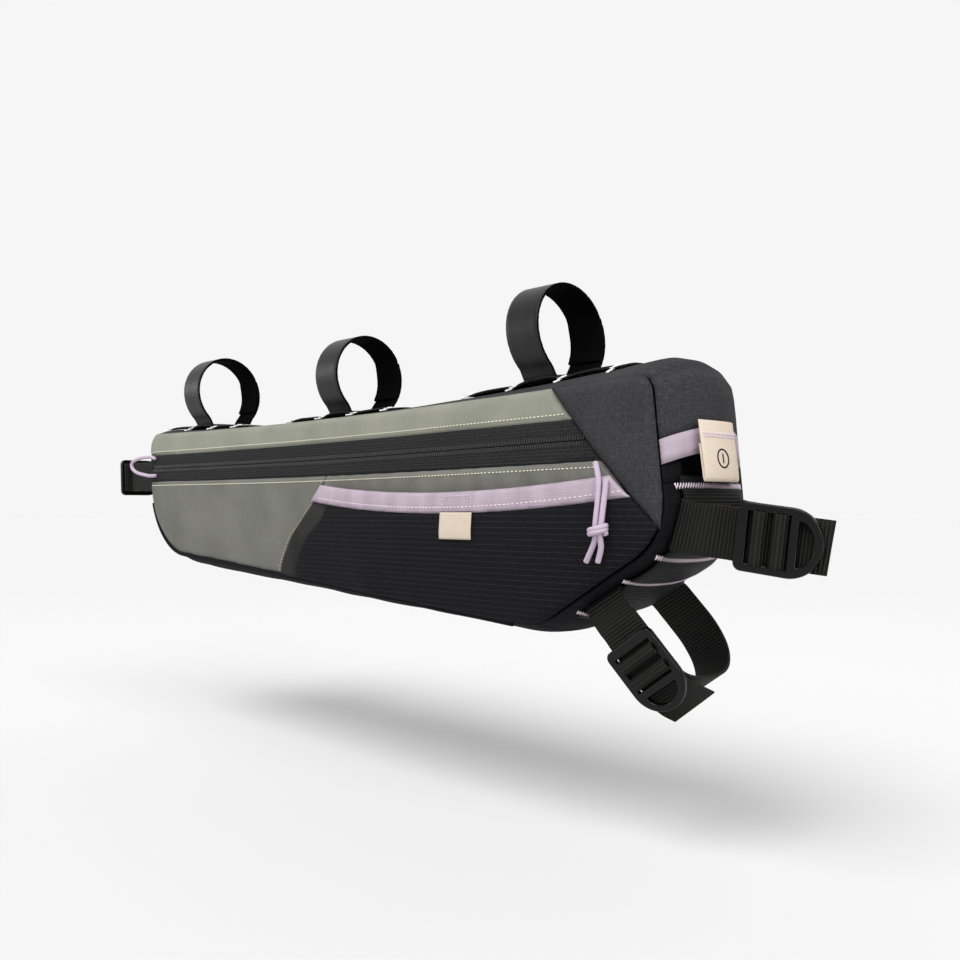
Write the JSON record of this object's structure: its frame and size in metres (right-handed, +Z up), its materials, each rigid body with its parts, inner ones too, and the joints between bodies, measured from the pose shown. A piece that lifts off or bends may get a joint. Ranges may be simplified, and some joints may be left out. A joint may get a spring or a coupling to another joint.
{
  "type": "bicycle frame bag",
  "caption": "Long wedge-shaped half-frame bicycle bag with a side zip, bound outer pocket, cable port, hook-and-loop top straps and buckled straps.",
  "frame": {"origin": "On the bicycle's top tube axis, over the middle of the three top straps", "axes": "+X to the front of the bicycle along the top tube, +Z up, -Y the side with the zip and the pocket"},
  "size_m": [0.7215, 0.0892, 0.2501],
  "materials": {
    "sage_cloth": "light sage grey-green woven polyester, matt",
    "charcoal_cloth": "heather charcoal canvas, padded",
    "black_ripstop": "black ripstop, slightly coated",
    "black_webbing": "ribbed black webbing",
    "zip_black": "black coil zip and tapes",
    "lavender": "lavender grosgrain and cord",
    "cream_tape": "cream woven tape",
    "hook_tape": "black hook-and-loop tape, satin outside",
    "black_plastic": "moulded black plastic, satin"
  },
  "bodies": {
    "root": {"side_panel_upper": "sage_cloth", "side_panel_lower": "sage_cloth", "pocket_gore": "sage_cloth", "corner_panel": "charcoal_cloth", "far_side_panel": "charcoal_cloth", "top_gusset": "charcoal_cloth", "front_gusset": "charcoal_cloth", "pocket_panel": "black_ripstop", "chin_gusset": "black_ripstop", "bottom_gusset": "black_ripstop", "rear_gusset": "black_ripstop", "top_chain_rear": "black_webbing", "top_chain_middle": "black_webbing", "top_chain_front": "black_webbing", "front_chain": "black_webbing", "rear_chain": "black_webbing", "strap_front_upper": "black_webbing", "strap_front_lower": "black_webbing", "strap_rear": "black_webbing", "zipper_tape_upper": "zip_black", "zipper_coil": "zip_black", "zipper_tape_lower": "zip_black", "port_band": "lavender", "pocket_binding": "lavender", "pull_strand_rear": "lavender", "pull_strand_front": "lavender", "pull_tail_rear": "lavender", "pull_tail_front": "lavender", "pull_knot": "lavender", "zip_end_loop": "lavender", "pocket_label": "cream_tape", "port_tag": "cream_tape", "top_strap_rear": "hook_tape", "top_strap_middle": "hook_tape", "top_strap_front": "hook_tape", "buckle_front_upper": "black_plastic", "buckle_front_lower": "black_plastic", "buckle_rear": "black_plastic"}
  },
  "joints": []
}
